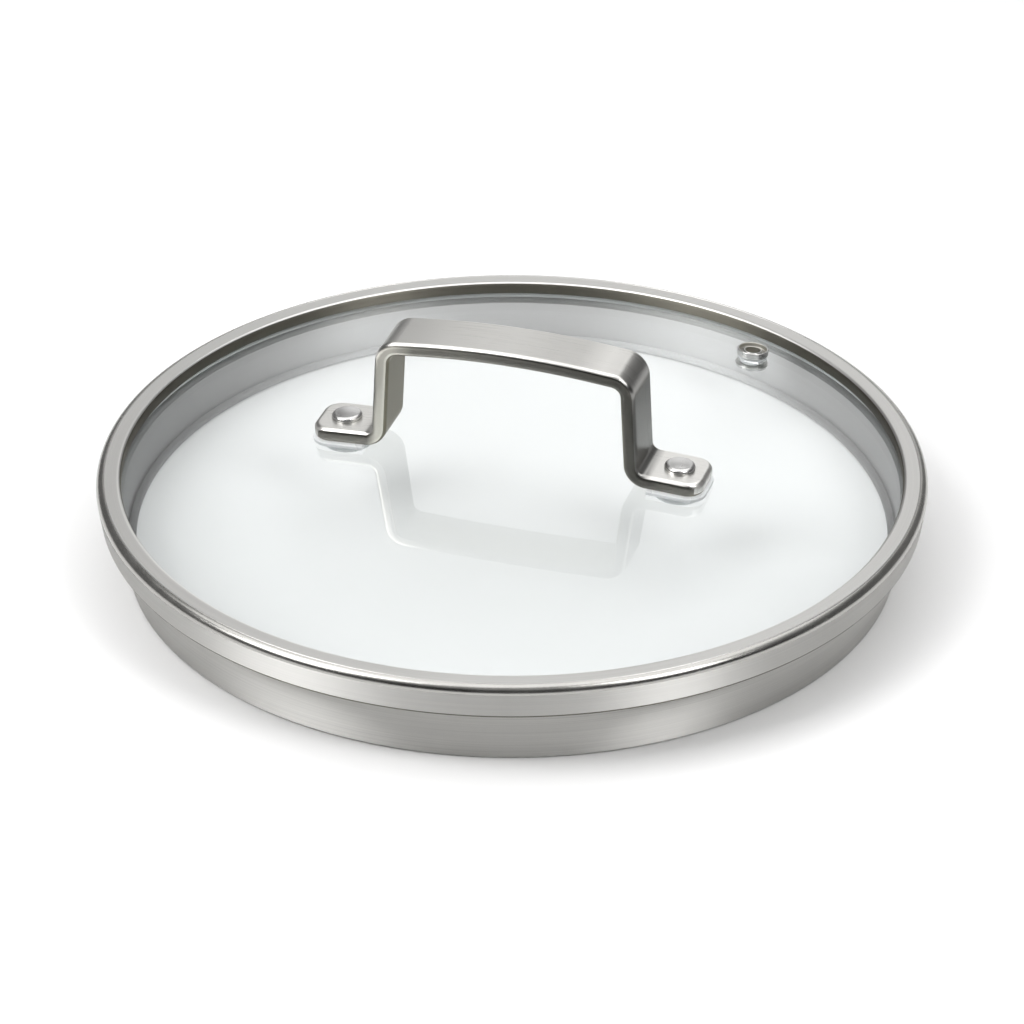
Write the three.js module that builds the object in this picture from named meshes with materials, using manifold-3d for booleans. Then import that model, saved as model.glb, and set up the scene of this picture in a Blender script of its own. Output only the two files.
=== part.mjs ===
// A domed glass lid for a 24 cm pan: a crimped steel rim and a deep steel skirt round a tempered glass
// disc, with a riveted strap handle and a steam vent. Millimetres, +Z up. The origin is on the lid's axis
// at the plane that the skirt stands on, and the handle runs along X.
import * as THREE from "three";
import { mergeVertices } from "three/addons/utils/BufferGeometryUtils.js";
import Module from "manifold-3d";

const wasm = await Module();
wasm.setup();

// ---- driving dimensions ----
const RIM_RADIUS = 125; // outside of the rim where the shoulder meets the band
const RIM_HEIGHT = 29.2; // top of the rim's flange above the skirt's foot
const SHEET = 0.8; // steel sheet of the rim and the skirt
const LIP_RADIUS = 117.5; // inner face of the rim, round the visible glass
const LIP_DROP = 3.5; // how far the lip reaches down from the flange
const SHOULDER_BEND = 2.1; // middle-line radius where the flange turns down into the band
const SHOULDER_LEAN = 0.35; // the band leans in, so the bend's corner lies this far outside the widest point
const BAND_FOOT_RADIUS = 123.8; // outside of the band where it turns in
const BAND_FOOT_Z = 18.2; // underside of the ledge that sits on the pan's rim
const LEDGE_RADIUS = 119.4; // inner edge of that ledge
const SKIRT_TOP_RADIUS = 118.8; // outside of the skirt under the ledge
const SKIRT_FOOT_RADIUS = 116.2; // outside of the skirt at its foot
const HEM_WIDTH = 3.4; // the skirt's foot is rolled inwards into a hem
const HEM_HEIGHT = 2.8;
const TIGHT_BEND = 0.9; // middle-line radii of the sheet's other bends
const LEDGE_BEND = 1.1;
const HEM_BEND = 0.8;
const HEM_MOUTH = 1.1; // from the wall's middle line to the hem's raw edge
const FIT_GAP = 0.2; // clearance between pieces that touch

const GLASS_RADIUS = 121;
const GLASS_THICKNESS = 4;
const DOME_RADIUS = 1000; // the glass is part of a sphere this big
const SEAL_WALL = 1.5; // silicone behind the edge of the glass

const RIVET_X = 52; // distance of each rivet from the lid's axis
const FOOT_TIP = 9; // from the rivet to the end of the foot
const STRAP_WIDTH = 18.5;
const STRAP_THICKNESS = 4.5;
const STRAP_EDGE = 1.4; // rounding along the strap's long edges
const FOOT_CORNER = 5.5; // corner radius of the feet, seen from above
const LEG_FOOT_X = 39.6; // middle line of a leg at its foot
const LEG_TOP_X = 37.9; // and at the bar
const BAR_TOP_Z = 71.7; // top of the bar at the middle
const BAR_ARCH_RADIUS = 280;
const FOOT_BEND = 4.8; // middle-line bend radii of the strap
const BAR_BEND = 5.4;
const PAD_THICKNESS = 1; // silicone pad under each foot
const PAD_MARGIN = 0.4; // how far the pad shows round the foot

const RIVET_SHANK_RADIUS = 2.5;
const RIVET_HEAD_RADIUS = 4.65;
const RIVET_HEAD_HEIGHT = 1.9;
const RIVET_TAIL_RADIUS = 4;
const RIVET_TAIL_HEIGHT = 1.5;
const GLASS_HOLE_RADIUS = 4; // rivet holes in the glass
const BUTTON_WALL = 0.3; // of a rivet head's height: its upright wall
const BUTTON_SHOULDER = 0.55; // and its rounded shoulder
const BUTTON_EASE = 0.75; // and how far the shoulder comes in
const WASHER_THICKNESS = 1;
const SOFT_WASHER_RADIUS = 7.5;
const STEEL_WASHER_RADIUS = 6;

const VENT_ORBIT = 104.2; // distance of the steam vent from the axis
const VENT_ANGLE = THREE.MathUtils.degToRad(60.9); // from the handle's axis, anticlockwise from above
const VENT_BORE_RADIUS = 2.4;
const VENT_WALL = 0.5;
const VENT_CUP_RADIUS = 4.9; // the eyelet spreads into a shallow cup on top of the glass
const VENT_CUP_HEIGHT = 2;
const VENT_CUP_WALL = 0.6;
const VENT_LIP_HEIGHT = 1.5; // lip round the bore, inside the cup
const VENT_HOLE_RADIUS = 3.8; // vent hole in the glass
const VENT_WASHER_RADIUS = 5.2;
const VENT_WASHER_THICKNESS = 0.6;
const VENT_COLLAR_RADIUS = 4.6; // silicone under the cup
const VENT_ROLL_WIDTH = 1.3; // the eyelet's lower end, rolled out over its washer
const VENT_ROLL_HEIGHT = 0.8;
const VENT_EASE = 0.2; // bevel of the eyelet's edges
const DRILL_REACH = 12; // half the length of the tools that drill the glass and the strap

// ---- fineness of the facets ----
const RING_SEGMENTS = 64;
const SMALL_SEGMENTS = 16;
const GLASS_RINGS = 4;
const BAR_STEPS = 4; // along half of the bar
const CORNER_STEPS = 4;
const EDGE_STEPS = 2;
const BUTTON_STEPS = 2;
const CHORD_GAP = 0.1; // how far the chords of a bend may leave its arc, in the middle line

// ---- materials ----
const satinSteel = new THREE.MeshStandardMaterial({ color: 0xb9b7b2, roughness: 0.34, metalness: 1 });
const polishedSteel = new THREE.MeshStandardMaterial({ color: 0xcac9c6, roughness: 0.16, metalness: 1 });
const glass = new THREE.MeshStandardMaterial({
  color: 0xdfe8ea, roughness: 0.03, metalness: 0, transparent: true, opacity: 0.35,
});
const silicone = new THREE.MeshStandardMaterial({
  color: 0xe6ecee, roughness: 0.3, metalness: 0, transparent: true, opacity: 0.6,
});

// ---- helpers ----
const point = (x, y) => new THREE.Vector2(x, y);

// The closed outline of a strip of even thickness, bent along a line of corners. Each corner is given as
// [x, y, bend radius of the middle line].
function bentStrip(corners, thickness) {
  const left = [];
  const right = [];
  const half = thickness / 2;
  const put = (middle, normal) => {
    left.push(middle.clone().addScaledVector(normal, half));
    right.push(middle.clone().addScaledVector(normal, -half));
  };
  corners.forEach(([x, y, bend], i) => {
    const here = point(x, y);
    const before = i > 0 ? here.clone().sub(point(...corners[i - 1])).normalize() : null;
    const after = i < corners.length - 1 ? point(...corners[i + 1]).sub(here).normalize() : null;
    const along = before ?? after;
    const normal = point(-along.y, along.x);
    if (!before || !after) {
      put(here, normal);
      return;
    }
    const turn = Math.atan2(before.cross(after), before.dot(after));
    const side = Math.sign(turn);
    const start = here.clone().addScaledVector(before, -bend * Math.tan(Math.abs(turn) / 2));
    const centre = start.clone().addScaledVector(normal, side * bend);
    const steps = Math.ceil(Math.abs(turn) / (2 * Math.acos(1 - CHORD_GAP / bend)));
    for (let k = 0; k <= steps; k++) {
      const facing = normal.clone().rotateAround(point(0, 0), (turn * k) / steps);
      put(centre.clone().addScaledVector(facing, -side * bend), facing);
    }
  });
  return [...left, ...right.reverse()];
}

// A ring or disc turned round the Z axis from a closed outline of (radius, height) points.
function turned(outline, segments) {
  const anticlockwise = THREE.ShapeUtils.area(outline) > 0 ? outline : [...outline].reverse();
  const profile = [...anticlockwise, anticlockwise[0].clone()];
  return new THREE.LatheGeometry(profile, segments).rotateX(Math.PI / 2);
}

// A washer, tube or short cylinder between two heights. An inner radius of 0 makes it solid.
function tube(inner, outer, bottom, top) {
  const outline = [point(inner, bottom), point(outer, bottom), point(outer, top), point(inner, top)];
  return turned(outline, SMALL_SEGMENTS);
}

function solidOf(geometry) {
  const bare = geometry.clone();
  bare.deleteAttribute("normal");
  bare.deleteAttribute("uv");
  const merged = mergeVertices(bare, 1e-4);
  return new wasm.Manifold(new wasm.Mesh({
    numProp: 3,
    vertProperties: merged.attributes.position.array,
    triVerts: merged.index.array,
  }));
}

function geometryOf(solid) {
  const mesh = solid.getMesh();
  return new THREE.BufferGeometry()
    .setAttribute("position", new THREE.BufferAttribute(mesh.vertProperties, 3))
    .setIndex(new THREE.BufferAttribute(mesh.triVerts, 1));
}

function cut(geometry, ...tools) {
  return geometryOf(tools.reduce((rest, tool) => rest.subtract(solidOf(tool)), solidOf(geometry)));
}

function join(...geometries) {
  return geometryOf(geometries.map(solidOf).reduce((whole, next) => whole.add(next)));
}

function meshOf(name, geometry, material) {
  const mesh = new THREE.Mesh(geometry, material);
  mesh.name = name;
  return mesh;
}

// ---- the dome of the glass ----
const domeDrop = (radius) => DOME_RADIUS - Math.sqrt(DOME_RADIUS ** 2 - radius ** 2);
const DOME_TOP_Z = RIM_HEIGHT - LIP_DROP - FIT_GAP + domeDrop(LIP_RADIUS);
const glassTop = (radius) => DOME_TOP_Z - domeDrop(radius);

// A frame on the top of the glass, with its Z axis square to the glass.
function frameOnGlass(orbit, angle) {
  const frame = new THREE.Group();
  frame.position.set(orbit * Math.cos(angle), orbit * Math.sin(angle), glassTop(orbit));
  frame.rotation.set(0, Math.asin(orbit / DOME_RADIUS), angle, "ZYX");
  frame.updateMatrix();
  return frame;
}

const rightFrame = () => frameOnGlass(RIVET_X, 0);
const leftFrame = () => frameOnGlass(RIVET_X, Math.PI);
const ventFrame = () => frameOnGlass(VENT_ORBIT, VENT_ANGLE);
const drill = (radius, frame) =>
  tube(0, radius, -DRILL_REACH, DRILL_REACH).applyMatrix4(frame.matrix);

// ---- rim ----
function rimRing() {
  const half = SHEET / 2;
  const flangeZ = RIM_HEIGHT - half;
  const ledgeZ = BAND_FOOT_Z + half;
  const lipX = LIP_RADIUS + half;
  const outline = bentStrip([
    [lipX, RIM_HEIGHT - LIP_DROP, 0],
    [lipX, flangeZ, TIGHT_BEND],
    [RIM_RADIUS - half + SHOULDER_LEAN, flangeZ, SHOULDER_BEND],
    [BAND_FOOT_RADIUS - half, ledgeZ, LEDGE_BEND],
    [LEDGE_RADIUS, ledgeZ, 0],
  ], SHEET);
  return turned(outline, RING_SEGMENTS);
}

// ---- skirt: an outward flange that lies on the rim's ledge, a leaning wall and a rolled hem ----
const SKIRT_FLANGE_Z = BAND_FOOT_Z + SHEET + FIT_GAP / 2;

function skirtRing() {
  const half = SHEET / 2;
  const flangeZ = SKIRT_FLANGE_Z + half;
  const footX = SKIRT_FOOT_RADIUS - half;
  const hemX = SKIRT_FOOT_RADIUS - HEM_WIDTH + half;
  const hemTop = HEM_HEIGHT - half;
  const outline = bentStrip([
    [BAND_FOOT_RADIUS - 2 * SHEET, flangeZ, 0],
    [SKIRT_TOP_RADIUS - half, flangeZ, TIGHT_BEND],
    [footX, half, HEM_BEND],
    [hemX, half, HEM_BEND],
    [hemX, hemTop, HEM_BEND],
    [footX - HEM_MOUTH, hemTop, 0],
  ], SHEET);
  return turned(outline, RING_SEGMENTS);
}

// ---- glass ----
function glassDisc() {
  const radii = Array.from({ length: GLASS_RINGS + 1 }, (_, i) => (GLASS_RADIUS * i) / GLASS_RINGS);
  const top = radii.map((r) => point(r, glassTop(r)));
  const bottom = radii.map((r) => point(r, glassTop(r) - GLASS_THICKNESS)).reverse();
  const disc = turned([...bottom, ...top], RING_SEGMENTS);
  return cut(
    disc,
    drill(GLASS_HOLE_RADIUS, rightFrame()),
    drill(GLASS_HOLE_RADIUS, leftFrame()),
    drill(VENT_HOLE_RADIUS, ventFrame()),
  );
}

// ---- silicone channel that holds the edge of the glass inside the rim ----
function edgeSeal() {
  const flangeZ = SKIRT_FLANGE_Z + SHEET + FIT_GAP / 2;
  const roofZ = RIM_HEIGHT - SHEET - FIT_GAP;
  const lipX = LIP_RADIUS + SHEET + FIT_GAP;
  const bedX = SKIRT_TOP_RADIUS + FIT_GAP;
  const edgeX = GLASS_RADIUS + FIT_GAP;
  const aboveGlass = glassTop(lipX) + FIT_GAP;
  const underGlass = glassTop(GLASS_RADIUS) - GLASS_THICKNESS - FIT_GAP;
  return turned([
    point(lipX, aboveGlass),
    point(edgeX, aboveGlass),
    point(edgeX, underGlass),
    point(bedX, underGlass),
    point(bedX, flangeZ),
    point(edgeX + SEAL_WALL, flangeZ),
    point(edgeX + SEAL_WALL, roofZ),
    point(lipX, roofZ),
  ], RING_SEGMENTS);
}

// ---- handle: one strap bent from foot to foot, with its long edges and foot corners rounded ----
const STRAP_UNDER = FIT_GAP + PAD_THICKNESS + FIT_GAP; // underside of a foot above the glass

function strapHalf() {
  const frame = rightFrame();
  const onFoot = (x) => new THREE.Vector3(x, 0, STRAP_UNDER + STRAP_THICKNESS / 2).applyMatrix4(frame.matrix);
  const rivet = onFoot(0);
  const tip = onFoot(FOOT_TIP + STRAP_THICKNESS / 2);
  const slope = (tip.z - rivet.z) / (tip.x - rivet.x);
  const apexZ = BAR_TOP_Z - STRAP_THICKNESS / 2;
  const archZ = (x) => apexZ - (BAR_ARCH_RADIUS - Math.sqrt(BAR_ARCH_RADIUS ** 2 - x ** 2));
  const bar = Array.from({ length: BAR_STEPS }, (_, i) => {
    const x = ((LEG_TOP_X - 2 * BAR_BEND) * (BAR_STEPS - 1 - i)) / (BAR_STEPS - 1);
    return [x, archZ(x), BAR_BEND];
  });
  return [
    [tip.x, tip.z, 0],
    [LEG_FOOT_X, rivet.z + slope * (LEG_FOOT_X - rivet.x), FOOT_BEND],
    [LEG_TOP_X, archZ(LEG_TOP_X), BAR_BEND],
    ...bar,
  ];
}

// The strap seen from above: a rectangle whose four corners round the feet.
function strapPlan() {
  const armX = RIVET_X + FOOT_TIP - FOOT_CORNER;
  const armY = STRAP_WIDTH / 2 - FOOT_CORNER;
  const quarter = Math.PI / 2;
  const shape = new THREE.Shape();
  [[armX, armY], [-armX, armY], [-armX, -armY], [armX, -armY]].forEach(([x, y], i) => {
    shape.absarc(x, y, FOOT_CORNER, i * quarter, (i + 1) * quarter);
  });
  return shape;
}

function handleStrap() {
  const half = strapHalf();
  const mirrored = half.slice(0, -1).reverse().map(([x, z, bend]) => [-x, z, bend]);
  const side = new THREE.Shape(bentStrip([...half, ...mirrored], STRAP_THICKNESS));
  const strap = new THREE.ExtrudeGeometry(side, {
    depth: STRAP_WIDTH - 2 * STRAP_EDGE,
    bevelThickness: STRAP_EDGE,
    bevelSize: STRAP_EDGE,
    bevelOffset: -STRAP_EDGE,
    bevelSegments: EDGE_STEPS,
  }).rotateX(Math.PI / 2).translate(0, STRAP_WIDTH / 2 - STRAP_EDGE, 0);
  const plan = new THREE.ExtrudeGeometry(strapPlan(), {
    depth: BAR_TOP_Z + 1,
    bevelEnabled: false,
    curveSegments: CORNER_STEPS,
  });
  const rounded = geometryOf(solidOf(strap).intersect(solidOf(plan)));
  const bore = RIVET_SHANK_RADIUS + FIT_GAP;
  return cut(rounded, drill(bore, rightFrame()), drill(bore, leftFrame()));
}

// ---- what each rivet clamps, in the frame of that rivet ----

// Half the profile of a low button, from its rim on the seat up to its crown.
function button(radius, height) {
  const ease = height * BUTTON_EASE;
  const quarter = Array.from({ length: BUTTON_STEPS + 1 }, (_, i) => (i / BUTTON_STEPS) * (Math.PI / 2));
  return [
    point(radius, 0),
    ...quarter.map((a) => point(radius - ease * (1 - Math.cos(a)), height * BUTTON_WALL
      + height * BUTTON_SHOULDER * Math.sin(a))),
    point(0, height),
  ];
}

function rivet() {
  const seat = STRAP_UNDER + STRAP_THICKNESS + FIT_GAP;
  const washerFoot = -GLASS_THICKNESS - 3 * FIT_GAP - 2 * WASHER_THICKNESS;
  return turned([
    ...button(RIVET_TAIL_RADIUS, RIVET_TAIL_HEIGHT).map(({ x, y }) => point(x, washerFoot - y)).reverse(),
    point(RIVET_SHANK_RADIUS, washerFoot),
    point(RIVET_SHANK_RADIUS, seat),
    ...button(RIVET_HEAD_RADIUS, RIVET_HEAD_HEIGHT).map(({ x, y }) => point(x, seat + y)),
  ], SMALL_SEGMENTS);
}

// A foot pad with a sleeve that keeps the rivet off the glass.
function footPad() {
  const shape = new THREE.Shape();
  const halfWidth = STRAP_WIDTH / 2 + PAD_MARGIN;
  const corner = FOOT_CORNER + PAD_MARGIN;
  const tip = FOOT_TIP + PAD_MARGIN;
  const heel = LEG_FOOT_X + FOOT_BEND - RIVET_X;
  shape.moveTo(heel, halfWidth);
  shape.lineTo(heel, -halfWidth);
  shape.absarc(tip - corner, corner - halfWidth, corner, 1.5 * Math.PI, 2 * Math.PI);
  shape.absarc(tip - corner, halfWidth - corner, corner, 0, Math.PI / 2);
  const sheet = new THREE.ExtrudeGeometry(shape, {
    depth: PAD_THICKNESS,
    bevelEnabled: false,
    curveSegments: CORNER_STEPS,
  }).translate(0, 0, FIT_GAP);
  const bore = RIVET_SHANK_RADIUS + FIT_GAP;
  const sleeve = tube(0, GLASS_HOLE_RADIUS - FIT_GAP, -GLASS_THICKNESS, FIT_GAP + PAD_THICKNESS / 2);
  return cut(join(sheet, sleeve), tube(0, bore, -DRILL_REACH, DRILL_REACH));
}

function rivetStack(side, frame) {
  const bore = RIVET_SHANK_RADIUS + FIT_GAP;
  const softTop = -GLASS_THICKNESS - FIT_GAP;
  const steelTop = softTop - WASHER_THICKNESS - FIT_GAP;
  frame.add(
    meshOf(`rivet_${side}`, rivet(), polishedSteel),
    meshOf(`foot_pad_${side}`, footPad(), silicone),
    meshOf(`soft_washer_${side}`,
      tube(bore, SOFT_WASHER_RADIUS, softTop - WASHER_THICKNESS, softTop), silicone),
    meshOf(`steel_washer_${side}`,
      tube(bore, STEEL_WASHER_RADIUS, steelTop - WASHER_THICKNESS, steelTop), satinSteel),
  );
  return frame;
}

// ---- steam vent, in a frame on the glass ----
function ventEyelet() {
  const barrel = VENT_BORE_RADIUS + VENT_WALL;
  const cupFoot = 2 * FIT_GAP + VENT_WASHER_THICKNESS;
  const cupTop = cupFoot + VENT_CUP_HEIGHT;
  const floor = cupFoot + VENT_CUP_WALL;
  const lipTop = cupFoot + VENT_LIP_HEIGHT;
  const cupInside = VENT_CUP_RADIUS - VENT_CUP_WALL;
  const rollTop = -GLASS_THICKNESS - 3 * FIT_GAP - VENT_WASHER_THICKNESS;
  const rollFoot = rollTop - VENT_ROLL_HEIGHT;
  const rollEdge = VENT_BORE_RADIUS + VENT_ROLL_WIDTH;
  return turned([
    point(VENT_BORE_RADIUS, rollFoot + VENT_EASE),
    point(VENT_BORE_RADIUS + VENT_EASE, rollFoot),
    point(rollEdge, rollFoot),
    point(rollEdge, rollTop),
    point(barrel, rollTop),
    point(barrel, cupFoot),
    point(VENT_CUP_RADIUS - VENT_EASE, cupFoot),
    point(VENT_CUP_RADIUS, cupFoot + VENT_EASE),
    point(VENT_CUP_RADIUS, cupTop - VENT_EASE),
    point(VENT_CUP_RADIUS - VENT_EASE, cupTop),
    point(cupInside, cupTop),
    point(cupInside, floor),
    point(barrel, floor),
    point(barrel, lipTop - VENT_EASE),
    point(barrel - VENT_EASE, lipTop),
    point(VENT_BORE_RADIUS, lipTop),
  ], SMALL_SEGMENTS);
}

// A silicone collar under the eyelet's cup, with a sleeve through the glass.
function ventSleeve() {
  const inner = VENT_BORE_RADIUS + VENT_WALL + FIT_GAP;
  const sleeve = VENT_HOLE_RADIUS - FIT_GAP;
  const collarTop = FIT_GAP + VENT_WASHER_THICKNESS;
  return turned([
    point(inner, -GLASS_THICKNESS),
    point(sleeve, -GLASS_THICKNESS),
    point(sleeve, FIT_GAP),
    point(VENT_COLLAR_RADIUS, FIT_GAP),
    point(VENT_COLLAR_RADIUS, collarTop),
    point(inner, collarTop),
  ], SMALL_SEGMENTS);
}

function steamVent() {
  const frame = ventFrame();
  const inner = VENT_BORE_RADIUS + VENT_WALL + FIT_GAP;
  const washerTop = -GLASS_THICKNESS - 2 * FIT_GAP;
  frame.add(
    meshOf("vent_eyelet", ventEyelet(), polishedSteel),
    meshOf("vent_sleeve", ventSleeve(), silicone),
    meshOf("vent_washer",
      tube(inner, VENT_WASHER_RADIUS, washerTop - VENT_WASHER_THICKNESS, washerTop), satinSteel),
  );
  return frame;
}

// ---- the lid ----
const lid = new THREE.Group();
lid.add(
  meshOf("rim_ring", rimRing(), satinSteel),
  meshOf("skirt_ring", skirtRing(), satinSteel),
  meshOf("glass_disc", glassDisc(), glass),
  meshOf("glass_edge_seal", edgeSeal(), silicone),
  meshOf("handle_strap", handleStrap(), satinSteel),
  rivetStack("left", leftFrame()),
  rivetStack("right", rightFrame()),
  steamVent(),
);

export default lid;
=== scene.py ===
"""A domed glass pan lid with a satin steel rim, a deep skirt, a riveted strap handle and a steam vent.

Shapes are worked out in millimetres in the CAD's frame and made in metres. The lid stands on its skirt at
z = 0, its axis is the Z axis and its handle runs along X.
"""
import math

import bmesh
import bpy
from mathutils import Matrix, Vector
from mathutils.geometry import delaunay_2d_cdt


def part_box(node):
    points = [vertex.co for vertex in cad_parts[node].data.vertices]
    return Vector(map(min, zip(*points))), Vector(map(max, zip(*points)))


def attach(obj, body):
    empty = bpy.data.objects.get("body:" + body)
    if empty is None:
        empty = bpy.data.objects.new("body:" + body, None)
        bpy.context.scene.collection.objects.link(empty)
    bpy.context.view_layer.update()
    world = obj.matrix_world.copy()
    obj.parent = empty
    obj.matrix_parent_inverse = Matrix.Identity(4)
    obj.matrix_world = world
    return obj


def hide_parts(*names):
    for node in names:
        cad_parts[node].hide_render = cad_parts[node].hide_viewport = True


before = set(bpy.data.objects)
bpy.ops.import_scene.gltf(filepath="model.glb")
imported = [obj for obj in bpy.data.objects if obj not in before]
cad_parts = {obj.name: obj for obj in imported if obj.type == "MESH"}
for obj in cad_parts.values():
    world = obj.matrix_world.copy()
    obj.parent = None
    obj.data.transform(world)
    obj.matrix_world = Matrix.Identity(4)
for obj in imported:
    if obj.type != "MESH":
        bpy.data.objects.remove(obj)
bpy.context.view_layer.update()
MM = 0.001


def reach(node):
    """Least and greatest distance of a CAD node from the lid's axis, in mm."""
    distances = [v.co.xy.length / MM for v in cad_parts[node].data.vertices]
    return min(distances), max(distances)


def heights(node):
    """Lowest and highest point of a CAD node, in mm."""
    low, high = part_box(node)
    return low.z / MM, high.z / MM


# ---- sizes in mm, from the frame where it holds them ----
LIP_RADIUS = reach("rim_ring")[0]
RIM_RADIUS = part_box("rim_ring")[1].x / MM
LEDGE_Z, RIM_TOP = heights("rim_ring")
HEM_RADIUS, SKIRT_FLANGE_RADIUS = reach("skirt_ring")
SKIRT_FOOT, SKIRT_TOP = heights("skirt_ring")
GLASS_RADIUS = reach("glass_disc")[1]
GLASS_FOOT, GLASS_CROWN = heights("glass_disc")
BAR_TOP = heights("handle_strap")[1]
STRAP_WIDTH = (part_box("handle_strap")[1].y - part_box("handle_strap")[0].y) / MM
FOOT_REACH = reach("handle_strap")[1]

SHEET = 0.8
LIP_DROP = 3.5
SHOULDER_BEND = 2.1
SHOULDER_LEAN = 0.33  # past the rim's edge: where flange and band would meet if they were not rounded
BAND_FOOT_RADIUS = 123.8
LEDGE_RADIUS = 119.4
LEDGE_BEND = 1.1
TIGHT_BEND = 0.9
SKIRT_TOP_RADIUS = 118.8
SKIRT_FOOT_RADIUS = 116.2
HEM_BEND = 0.8
HEM_HEIGHT = 2.8
HEM_MOUTH = 1.1  # the hem's slot
FIT_GAP = 0.2

GLASS_THICKNESS = 4.0
GLASS_SAG = GLASS_CROWN - GLASS_FOOT - GLASS_THICKNESS
DOME_RADIUS = (GLASS_RADIUS**2 + GLASS_SAG**2) / (2 * GLASS_SAG)
GLASS_HOLE_RADIUS = 4.0
SEAL_WALL = 1.5

RIVET_ORBIT = 52.0  # from the lid's axis
STRAP_THICKNESS = 4.5
STRAP_EDGE = 1.6
FOOT_CORNER = 5.5
LEG_FOOT_X = 39.6  # the leg's middle line, where it would meet the foot's
LEG_TOP_X = 37.9  # and the bar's
BAR_ARCH_RADIUS = 280.0
FOOT_BEND = 4.8
BAR_BEND = 5.4
PAD_THICKNESS = 1.0
PAD_MARGIN = 0.4
PAD_EASE = 0.3  # rounding of the pad's edges
STRAP_UNDER = 2 * FIT_GAP + PAD_THICKNESS

RIVET_SHANK_RADIUS = 2.5
RIVET_HEAD_RADIUS = 4.65
RIVET_HEAD_HEIGHT = 1.9
RIVET_TAIL_RADIUS = 4.0
RIVET_TAIL_HEIGHT = 1.5
BUTTON_WALL = 0.3  # of a rivet head's height: its upright wall
BUTTON_SHOULDER = 0.55  # and its rounded shoulder
BUTTON_EASE = 0.75  # and how far the shoulder comes in
WASHER_THICKNESS = 1.0
WASHER_EASE = 0.25
SOFT_WASHER_RADIUS = 7.5
STEEL_WASHER_RADIUS = 6.0

VENT_ORBIT = 104.2  # from the lid's axis
VENT_ANGLE = math.radians(60.9)
VENT_BORE_RADIUS = 2.4
VENT_WALL = 0.5
VENT_BARREL_RADIUS = VENT_BORE_RADIUS + VENT_WALL
VENT_CUP_RADIUS = 4.9
VENT_CUP_HEIGHT = 2.0
VENT_CUP_WALL = 0.6
VENT_LIP_HEIGHT = 1.5
VENT_COLLAR_RADIUS = 4.6
VENT_HOLE_RADIUS = 3.8
VENT_WASHER_RADIUS = 5.2
VENT_WASHER_THICKNESS = 0.6
VENT_CUP_FOOT = 2 * FIT_GAP + VENT_WASHER_THICKNESS
VENT_ROLL_RADIUS = 3.7
VENT_ROLL_HEIGHT = 0.8
DRILL_REACH = 12.0  # half the length of the tools that drill the strap and the pads

# ---- where one surface of a piece ends: how far its faces point one way, from 0 to 1 ----
LIP_INWARD = 0.75
CREASE_OUTWARD = 0.3
CREASE_DOWNWARD = 0.25
SHOULDER_OUTWARD = 0.1
UNDERSIDE_DOWNWARD = 0.5
STRAP_EDGE_SIDEWAYS = 0.8
STRAP_INNER_FACING = 0.3
BORE_INWARD = 0.3

# ---- fineness ----
RING_SEGMENTS = 320
SMALL_SEGMENTS = 72
BEND_STEP = math.radians(9)
SUPPORT = 0.25  # a point this far from each bend keeps the flat stretch beside it flat in its shading
RAW_EDGE_STEPS = 6  # round the raw edge of a sheet
CORNER_STEPS = 12  # of a foot's and a pad's round corners
STRAP_EDGE_STEPS = 8
BUTTON_STEPS = 14
CROWN_STEPS = 6
PAD_EDGE_STEPS = 4
BAR_STEPS = 12  # along half of the bar
GLASS_SPACING = 4.0
HOLE_COLLAR = 1.0  # a ring of points lies this far outside each hole
GLASS_CLEAR = 2.5  # and no point of the glass's grid lies this close to one
SAME_POINT = 1e-6
MERGE_DISTANCE = 1e-7  # metres
CRISP_ANGLE = math.radians(35)


# ---- outlines ----
def quarter(steps):
    """Angles from 0 to a right angle."""
    return [math.pi / 2 * k / steps for k in range(steps + 1)]


def bent_line(corners):
    """Points along a line bent round its corners, each (x, z, radius), with the unit normal on their left."""
    line = []
    points = [Vector(c[:2]) for c in corners]
    for i, here in enumerate(points):
        before = (here - points[i - 1]).normalized() if i > 0 else None
        after = (points[i + 1] - here).normalized() if i < len(points) - 1 else None
        if before is None or after is None:
            along = before or after
            line.append((here, Vector((-along.y, along.x))))
            continue
        radius = corners[i][2]
        turn = math.atan2(before.x * after.y - before.y * after.x, before.dot(after))
        side = math.copysign(1, turn)
        start = here - before * radius * math.tan(abs(turn) / 2)
        finish = here + after * radius * math.tan(abs(turn) / 2)
        normal = Vector((-before.y, before.x))
        centre = start + normal * side * radius
        steps = max(2, math.ceil(abs(turn) / BEND_STEP))
        line.append((start - before * SUPPORT, normal))
        for k in range(steps + 1):
            facing = Matrix.Rotation(turn * k / steps, 2) @ normal
            line.append((centre - facing * side * radius, facing))
        line.append((finish + after * SUPPORT, Vector((-after.y, after.x))))
    return line


def strip(corners, thickness):
    """Closed outline of a strip of even thickness along a bent line, with rounded raw edges."""
    half = thickness / 2
    line = bent_line(corners)

    def edge(point, normal):
        turns = [math.pi * k / RAW_EDGE_STEPS for k in range(1, RAW_EDGE_STEPS)]
        return [point + Matrix.Rotation(-t, 2) @ normal * half for t in turns]

    left = [p + n * half for p, n in line]
    right = [p - n * half for p, n in reversed(line)]
    return left + edge(*line[-1]) + right + edge(line[0][0], -line[0][1])


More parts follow.
